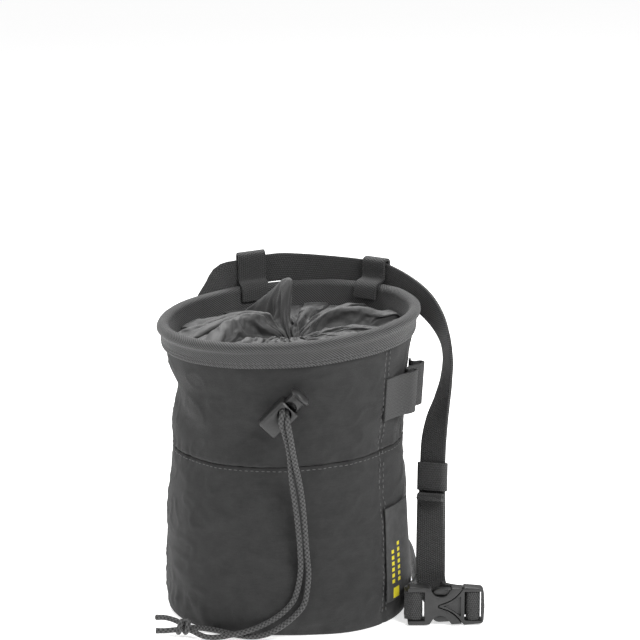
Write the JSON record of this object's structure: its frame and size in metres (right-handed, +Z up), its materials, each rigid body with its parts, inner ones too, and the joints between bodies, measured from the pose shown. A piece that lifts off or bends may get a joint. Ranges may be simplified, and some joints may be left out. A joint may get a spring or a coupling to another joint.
{
  "type": "chalk bag",
  "caption": "Soft round chalk bag with a drawn collar, cord lock, brush loop and buckled waist belt.",
  "frame": {"origin": "centre of the flat base, on the surface the bag stands on", "axes": "+Z up, -Y towards the front with the cord lock, +X towards the side with the buckle"},
  "size_m": [0.1679, 0.2023, 0.1724],
  "materials": {
    "pack_cloth": "matte woven",
    "twill_tape": "matte twill",
    "nylon": "soft sheen",
    "webbing": "ribbed webbing",
    "label_cloth": "matte",
    "plastic": "fine texture",
    "braid": "braided cord"
  },
  "bodies": {
    "bag": {"base_panel": "pack_cloth", "lower_panel": "pack_cloth", "upper_panel": "pack_cloth", "rim_binding": "twill_tape", "collar": "nylon", "belt_loop_left": "webbing", "belt_loop_right": "webbing", "waist_belt": "webbing", "belt_keeper": "webbing", "belt_tail_stop": "webbing", "buckle_female": "plastic", "buckle_male": "plastic", "brush_loop": "webbing", "side_tab": "label_cloth", "cord_eyelet": "plastic", "lock_barrel": "plastic", "drawcord_inner_left": "braid", "drawcord_inner_right": "braid", "drawcord_left": "braid", "drawcord_right": "braid", "cord_knot": "braid"},
    "plunger": {"lock_plunger": "plastic"}
  },
  "joints": [
    {"name": "plunger_press", "type": "slide", "parent": "bag", "child": "plunger", "axis": [0.7071, 0, 0.7071], "range_m": [-0.0035, 0], "stiffness_N_per_m": 200}
  ]
}
